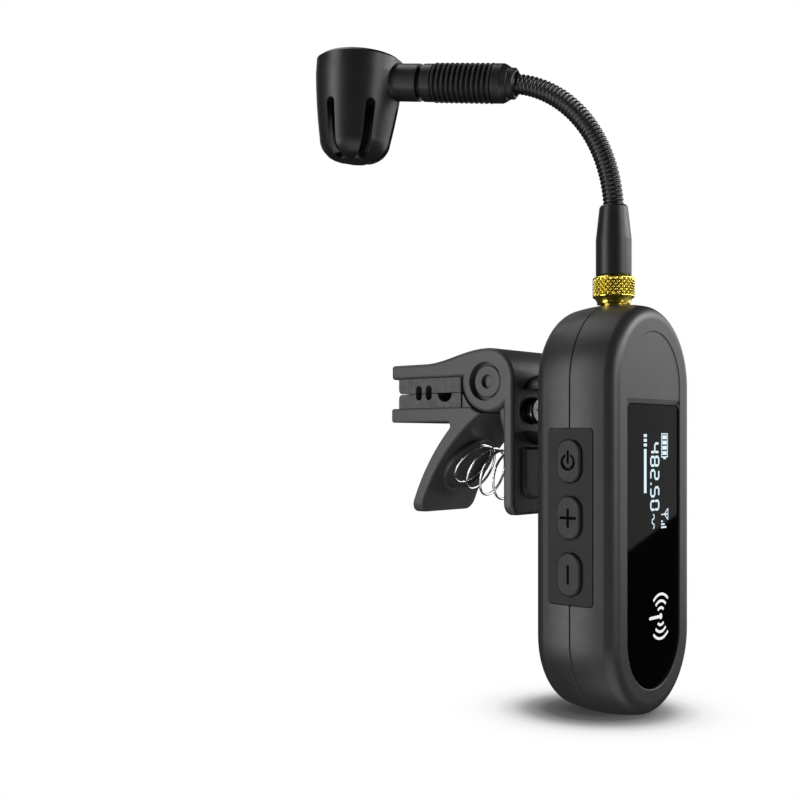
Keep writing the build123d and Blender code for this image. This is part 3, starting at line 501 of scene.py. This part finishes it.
neck_line = [(0.0, NECK_FOOT)]
for i in range(int(round((NECK_LENGTH + 2) / LINE_STEP))):
    angle = lean((i + 0.5) * LINE_STEP)
    out, up = neck_line[-1]
    neck_line.append((out + math.sin(angle) * LINE_STEP, up + math.cos(angle) * LINE_STEP))


def neck_at(s):
    """Centre and outward direction (away from the bend) of the gooseneck, s millimetres along it."""
    if s <= 0:
        centre = Vector((0, 0, NECK_FOOT + s))
        angle = lean(0)
    else:
        angle = lean(min(s, NECK_LENGTH))
        i = min(int(s / LINE_STEP), len(neck_line) - 2)
        rest = s / LINE_STEP - i
        out = neck_line[i][0] * (1 - rest) + neck_line[i + 1][0] * rest
        up = neck_line[i][1] * (1 - rest) + neck_line[i + 1][1] * rest
        centre = ACROSS * out + Vector((0, 0, up))
    return centre, ACROSS * -math.cos(angle) + Vector((0, 0, math.sin(angle)))


def hose(start, end):
    """A length of wound hose: one rounded ridge that climbs it like a screw."""
    rows = max(2, int(round((end - start) / HOSE_PITCH * ROWS_A_TURN)) + 1)
    points = []
    for i in range(rows):
        s = start + (end - start) * i / (rows - 1)
        centre, outward = neck_at(s)
        for j in range(HOSE_COLUMNS):
            turn = TAU * j / HOSE_COLUMNS
            wave = 0.5 + 0.5 * math.cos(TAU * (s / HOSE_PITCH) - turn)
            radius = HOSE_RADIUS - HOSE_DEPTH * (1 - wave**HOSE_SHARPNESS)
            points.append(centre + (outward * math.cos(turn) + ASIDE * math.sin(turn)) * radius)
    return points, grid_faces(rows, HOSE_COLUMNS)


# each length of hose spans one hinge, from half a step below it to half a step above
for k in range(NECK_PIECES + 1):
    first, last = k == 0, k == NECK_PIECES
    hinge = k * HINGE_STEP
    below, above = hinge - HINGE_STEP / 2, hinge + HINGE_STEP / 2
    start = -HOSE_INTO_BOOT if first else below
    end = NECK_LENGTH + HOSE_INTO_GRIP if last else above
    points, faces = hose(start, end)
    stands_for = [] if last else [f"gooseneck_{k + 1}"]
    name = f"spiral_hose_{k + 1}"
    coil = piece(name, points, faces, hose_metal, None, stands_for=stands_for)
    low = neck_at(-SOFT_END if first else below)[0]
    high = neck_at(NECK_LENGTH + SOFT_END if last else above)[0]
    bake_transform(coil)


# ---------------------------------------------------------------- the clip's spring
WIRE_SIDES = 14


def round_bar(path, radius):
    """A round bar along a path of points, with closed ends."""
    points, rows = [], len(path)
    side = None
    for i, centre in enumerate(path):
        ahead = path[min(i + 1, rows - 1)] - path[max(i - 1, 0)]
        ahead.normalize()
        side = ahead.orthogonal() if side is None else side - ahead * side.dot(ahead)
        side.normalize()
        other = ahead.cross(side)
        for j in range(WIRE_SIDES):
            turn = TAU * j / WIRE_SIDES
            points.append(centre + (side * math.cos(turn) + other * math.sin(turn)) * radius)
    faces = grid_faces(rows, WIRE_SIDES)
    faces.append(tuple(range(WIRE_SIDES))[::-1])
    faces.append(tuple((rows - 1) * WIRE_SIDES + j for j in range(WIRE_SIDES)))
    return points, faces


SPRING_RADIUS, WIRE, SPRING_LOW, SPRING_HIGH = 5.4, 0.29, 21.75, 37.2
SPRING_HEIGHT, SPRING_RISE = 48.4, 2.9
SPRING_TIP, TIP_START = math.radians(37), 0.25
SPRING_PHASE = 0.4
STEPS_A_TURN = 48
TURNS, DEAD, DEAD_STEP = 6.4, 0.9, 0.018


def spring_path():
    """A coil from the arm to the blade, close-wound at both ends, whose turns tip to meet the blade."""
    path = []
    count = int(TURNS * STEPS_A_TURN)
    for i in range(count + 1):
        t = i / count
        turns = t * TURNS
        live = (turns - DEAD) / (TURNS - 2 * DEAD)
        live = min(1.0, max(0.0, live))
        along = live + DEAD_STEP * (turns if turns < DEAD else DEAD)
        y = SPRING_LOW + (SPRING_HIGH - SPRING_LOW) * min(1.0, along)
        tip = SPRING_TIP * max(0.0, live - TIP_START) / (1 - TIP_START)
        turn = TAU * turns + SPRING_PHASE
        across, up = SPRING_RADIUS * math.cos(turn), SPRING_RADIUS * math.sin(turn)
        centre = Vector((0, y, SPRING_HEIGHT + SPRING_RISE * live * live))
        path.append(centre + Vector((across, -up * math.sin(tip), up * math.cos(tip))))
    return path


points, faces = round_bar(spring_path(), WIRE)
spring = piece("spring_coil", points, faces, chrome, None, stands_for=["clip_spring"])
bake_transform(spring)


# ---------------------------------------------------------------- flat marks: readout and button signs
class Marks:
    """Thin raised shapes drawn on a flat face, joined into one piece."""

    def __init__(self, origin, right, up, thickness):
        self.origin, self.right, self.up = Vector(origin), Vector(right), Vector(up)
        self.out = self.right.cross(self.up)
        self.thickness = thickness
        self.points, self.faces = [], []

    def place(self, x, y, level):
        """A point on the face, raised by level."""
        return self.origin + self.right * x + self.up * y + self.out * level

    def outline(self, corners):
        """A flat slab from its corners, in order."""
        base, count = len(self.points), len(corners)
        self.points += [self.place(x, y, 0) for x, y in corners]
        self.points += [self.place(x, y, self.thickness) for x, y in corners]
        self.faces.append(tuple(base + count + i for i in range(count)))
        self.faces.append(tuple(base + i for i in reversed(range(count))))
        for i in range(count):
            j = (i + 1) % count
            self.faces.append((base + i, base + j, base + count + j, base + count + i))

    def box(self, x0, y0, x1, y1):
        """A rectangle between two corners."""
        self.outline([(x0, y0), (x1, y0), (x1, y1), (x0, y1)])

    def arc(self, x, y, inner, outer, start, end, steps):
        """Part of a flat ring, as quads."""
        for i in range(steps):
            a = math.radians(start + (end - start) * i / steps)
            b = math.radians(start + (end - start) * (i + 1) / steps)
            corners = [(inner, a), (outer, a), (outer, b), (inner, b)]
            self.outline([(x + far * math.cos(turn), y + far * math.sin(turn)) for far, turn in corners])

    def frame(self, x0, y0, x1, y1, line):
        """The outline of a box, in bars of one thickness."""
        self.box(x0, y0, x1, y0 + line)
        self.box(x0, y1 - line, x1, y1)
        self.box(x0, y0 + line, x0 + line, y1 - line)
        self.box(x1 - line, y0 + line, x1, y1 - line)

    def row(self, count, x, low, high, width, step, rise=0.0):
        """Upright bars side by side, each one taller than the last by rise."""
        for i in range(count):
            left = x + i * step
            self.box(left, low, left + width, high + i * rise)

    def segment(self, x0, y0, x1, y1, half):
        """A bar with pointed ends, as in a segment display."""
        long_way = Vector((x1 - x0, y1 - y0)).normalized()
        side = Vector((-long_way.y, long_way.x)) * half
        tip = long_way * half
        a, b = Vector((x0, y0)), Vector((x1, y1))
        corners = [a, a + tip - side, b - tip - side, b, b - tip + side, a + tip + side]
        self.outline([tuple(c) for c in corners])

    def finish(self, name, material, body, slot):
        """Makes the piece from everything drawn so far."""
        piece(name, self.points, self.faces, material, body, smooth=False)


DIGIT_FOOT, DIGIT_WIDTH, DIGIT_HEIGHT, DIGIT_STEP = -0.85, 1.75, 3.3, 2.75
SEGMENT_HALF, SEGMENT_GAP = 0.25, 0.05
SEGMENTS = {
    "0": "abcdef",
    "2": "abged",
    "4": "fgbc",
    "5": "afgcd",
    "8": "abcdefg",
}


def digit(marks, sign, x):
    """One sign of the readout, its left edge at x."""
    y, width, height = DIGIT_FOOT, DIGIT_WIDTH, DIGIT_HEIGHT
    middle = y + height / 2
    bars = {
        "a": (x, y + height, x + width, y + height),
        "g": (x, middle, x + width, middle),
        "d": (x, y, x + width, y),
        "f": (x, middle, x, y + height),
        "b": (x + width, middle, x + width, y + height),
        "e": (x, y, x, middle),
        "c": (x + width, y, x + width, middle),
    }
    for key in SEGMENTS[sign]:
        x0, y0, x1, y1 = bars[key]
        way = Vector((x1 - x0, y1 - y0)).normalized() * SEGMENT_GAP
        marks.segment(x0 + way.x, y0 + way.y, x1 - way.x, y1 - way.y, SEGMENT_HALF)


LENS_FACE = -9.1
# The readout is turned a quarter turn: its lines run down the housing and its top is to the right.
readout = Marks((0, LENS_FACE, 0), (0, 0, -1), (1, 0, 0), 0.02)
# the number, with its decimal point
x = -56.1
for sign in "48":
    digit(readout, sign, x)
    x += DIGIT_STEP
digit(readout, "2", x)
x += 2.5
readout.box(x - 0.05, -1.05, x + 0.45, -0.55)
x += 1.0
for sign in "50":
    digit(readout, sign, x)
    x += DIGIT_STEP
# a wave sign after the number, for the radio band
for i in range(3):
    half_turn = 180 * (i % 2)
    readout.arc(x + 0.45 + i * 0.95, 0.1, 0.32, 0.6, half_turn, half_turn + 180, 12)
# battery
readout.frame(-58.2, 3.55, -53.2, 6.3, 0.22)
readout.box(-53.2, 4.4, -52.85, 5.45)
readout.row(4, -57.75, 3.98, 5.87, 0.78, 1.08)
# level bar and its dots
readout.box(-55.0, -3.65, -46.1, -2.65)
readout.row(3, -58.0, -3.75, -2.5, 0.6, 0.95)
# aerial and its strength bars
readout.box(-41.55, 3.5, -41.3, 6.4)
readout.segment(-42.6, 6.4, -41.45, 4.9, 0.12)
readout.segment(-40.25, 6.4, -41.4, 4.9, 0.12)
readout.box(-42.6, 6.28, -40.25, 6.5)
readout.row(3, -40.2, 3.5, 4.2, 0.36, 0.62, rise=0.75)
readout.finish("readout_signs", readout_light, "transmitter", "lens_black")

# the printed mark on the lower window, drawn with a painted glow of its own: waves leaving an aerial
AERIAL, WAVES, WAVE_SPREAD = -0.1, 1.9, 42
mark = Marks((1.4, LENS_FACE, 20.4), (0, 0, -1), (1, 0, 0), 0.02)
mark.segment(AERIAL, -3.0, AERIAL, 1.5, 0.32)
mark.arc(AERIAL, WAVES, 0.0, 0.62, 0, 360, 24)
for inner in (1.5, 2.9, 4.3):
    for centre in (0, 180):
        mark.arc(AERIAL, WAVES, inner, inner + 0.55, centre - WAVE_SPREAD, centre + WAVE_SPREAD, 18)
mark.finish("transmit_mark", white_mark_painted_glow, "transmitter", "lens_black")

# signs printed over the buttons' grooves
BUTTON_FACE = -17.55
STROKE, ARM = 0.27, 1.9
RING_GAP = 28
for name, height in (("power", 52.6), ("plus", 41.4), ("minus", 30.2)):
    sign = Marks((BUTTON_FACE, 0, height), (0, -1, 0), (0, 0, 1), 0.015)
    if name == "power":
        sign.arc(0, -0.2, 1.2, 1.66, 90 + RING_GAP, 450 - RING_GAP, 48)
        sign.box(-0.24, -0.45, 0.24, 2.15)
    else:
        sign.box(-STROKE, -ARM, STROKE, ARM)
    if name == "plus":
        sign.box(-ARM, -STROKE, -STROKE, STROKE)
        sign.box(STROKE, -STROKE, ARM, STROKE)
    sign.finish(f"{name}_sign", icon_ink, name, "button_black")

# contact strips on the charging socket's tongue
strips = Marks((0, -0.35, 0), (1, 0, 0), (0, 0, 1), 0.03)
for i in range(12):
    middle = -2.75 + i * 0.5
    strips.box(middle - 0.13, 2.0, middle + 0.13, 6.8)
strips.finish("usb_contacts", gold, "transmitter", "gold")


# ---------------------------------------------------------------- studio
SHADOW_CENTRE = (-0.0005, 0.0035, 0)
SHADOW_TURN = math.radians(48.4)
SHADOW_WIDTH = 1.15
FLOOR_RADIUS = 0.032
# the shadow's grey from its middle, 0, to the floor's rim, 1
SHADOW_CORE = [(0.0, 0.03), (0.18, 0.055), (0.34, 0.12), (0.46, 0.32)]
SHADOW_FADE = [(0.57, 0.66), (0.68, 0.88), (0.82, 0.97), (1.0, 1.0)]
FLOOR_SIDES = 64


def studio_floor():
    """White under the part, with a soft shadow painted at its foot."""
    material, tree = tree_of("studio_floor")
    add, link = tree.nodes.new, tree.links.new
    out, paper = add("ShaderNodeOutputMaterial"), add("ShaderNodeEmission")
    coords, turn, length = add("ShaderNodeTexCoord"), add("ShaderNodeMapping"), add("ShaderNodeVectorMath")
    span, shade = add("ShaderNodeMapRange"), add("ShaderNodeValToRGB")
    turn.vector_type = "TEXTURE"
    turn.inputs["Rotation"].default_value = (0, 0, -SHADOW_TURN)
    turn.inputs["Scale"].default_value = (SHADOW_WIDTH, 1, 1)
    length.operation = "LENGTH"
    span.inputs["From Max"].default_value = FLOOR_RADIUS / SHADOW_WIDTH
    stops = shade.color_ramp.elements
    for i, (place, grey) in enumerate(SHADOW_CORE + SHADOW_FADE):
        stop = stops[i] if i < 2 else stops.new(place)
        stop.position = place
        stop.color = (grey, grey, grey, 1)
    link(coords.outputs["Object"], turn.inputs["Vector"])
    link(turn.outputs[0], length.inputs[0])
    link(length.outputs["Value"], span.inputs["Value"])
    link(span.outputs["Result"], shade.inputs["Fac"])
    link(shade.outputs["Color"], paper.inputs["Color"])
    link(paper.outputs[0], out.inputs[0])
    angles = [TAU * i / FLOOR_SIDES for i in range(FLOOR_SIDES)]
    rim = [(FLOOR_RADIUS * math.cos(angle), FLOOR_RADIUS * math.sin(angle), 0) for angle in angles]
    mesh = bpy.data.meshes.new("floor")
    mesh.from_pydata(rim, [], [tuple(range(FLOOR_SIDES))])
    mesh.materials.append(material)
    floor = bpy.data.objects.new("floor", mesh)
    floor.location = SHADOW_CENTRE
    bpy.context.scene.collection.objects.link(floor)
    floor.visible_glossy = False
    floor.visible_diffuse = False
    floor.visible_shadow = False
    floor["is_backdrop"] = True


studio_floor()


def studio_world():
    """White behind the part; what the part itself receives is dim, and dimmer still in mirrors."""
    world = bpy.data.worlds.new("studio")
    bpy.context.scene.world = world
    world.use_nodes = True
    tree = world.node_tree
    tree.nodes.clear()
    add, link = tree.nodes.new, tree.links.new
    out, mix, path = add("ShaderNodeOutputWorld"), add("ShaderNodeMixShader"), add("ShaderNodeLightPath")
    seen, ambient = add("ShaderNodeBackground"), add("ShaderNodeBackground")
    mirrored = add("ShaderNodeMapRange")
    seen.inputs["Color"].default_value = (1, 1, 1, 1)
    seen.inputs["Strength"].default_value = 1.0
    ambient.inputs["Color"].default_value = (1, 1, 1, 1)
    mirrored.inputs["To Min"].default_value = 0.11
    mirrored.inputs["To Max"].default_value = 0.02
    link(path.outputs["Is Glossy Ray"], mirrored.inputs["Value"])
    link(mirrored.outputs["Result"], ambient.inputs["Strength"])
    link(path.outputs["Is Camera Ray"], mix.inputs["Fac"])
    link(ambient.outputs[0], mix.inputs[1])
    link(seen.outputs[0], mix.inputs[2])
    link(mix.outputs[0], out.inputs[0])


studio_world()


LIT_POINT = Vector((0, 0, 0.05))


def softbox(name, direction, distance, size, radiance, roll=0.0):
    """A rectangular light of a given brightness, facing the part."""
    light = bpy.data.lights.new(name, "AREA")
    light.shape = "RECTANGLE"
    light.size, light.size_y = size
    light.energy = radiance * math.pi * size[0] * size[1]
    thing = bpy.data.objects.new(name, light)
    bpy.context.scene.collection.objects.link(thing)
    way = Vector(direction).normalized()
    facing = way.to_track_quat("Z", "Y").to_matrix().to_4x4()
    place = Matrix.Translation(LIT_POINT + way * distance)
    thing.matrix_world = place @ facing @ Matrix.Rotation(math.radians(roll), 4, "Z")
    thing.visible_camera = False


softbox("side_light", (-0.86, 0.51, 0.05), 0.5, (0.22, 0.60), 4.6)
softbox("front_light", (0.478, -0.372, 0.053), 0.608, (0.36, 0.30), 0.62, roll=38)
softbox("high_light", (0.42, -0.46, 0.30), 0.6, (0.40, 0.22), 7.5)
softbox("face_light", (0.04, -0.90, 0.24), 0.6, (0.25, 0.44), 4.5)
softbox("right_light", (0.80, -0.15, 0.15), 0.6, (0.30, 0.50), 1.5)
softbox("top_light", (-0.05, 0.55, 1.0), 0.55, (0.3, 0.3), 2.6)
softbox("back_light", (0.55, 0.85, 0.45), 0.7, (0.5, 0.5), 0.35)
softbox("floor_bounce", (-0.45, -0.35, -0.9), 0.4, (0.5, 0.5), 1.2)

# the photograph's view
CAMERA_PLACE = (-0.19974, -0.11735, 0.05684)
CAMERA_HEADING = math.radians(48.432)
camera = bpy.data.cameras.new("camera")
camera.lens = 48.85
camera.sensor_width = 36
camera.shift_y = 0.0498
camera.clip_start, camera.clip_end = 0.01, 10
view = bpy.data.objects.new("camera", camera)
bpy.context.scene.collection.objects.link(view)
view.location = CAMERA_PLACE
view.rotation_euler = (math.radians(90), 0, -CAMERA_HEADING)
bpy.context.scene.camera = view
bpy.context.scene.view_settings.view_transform = "Standard"

low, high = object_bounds()
{"cad": [list(c) for c in cad_box], "visual": [list(low), list(high)]}
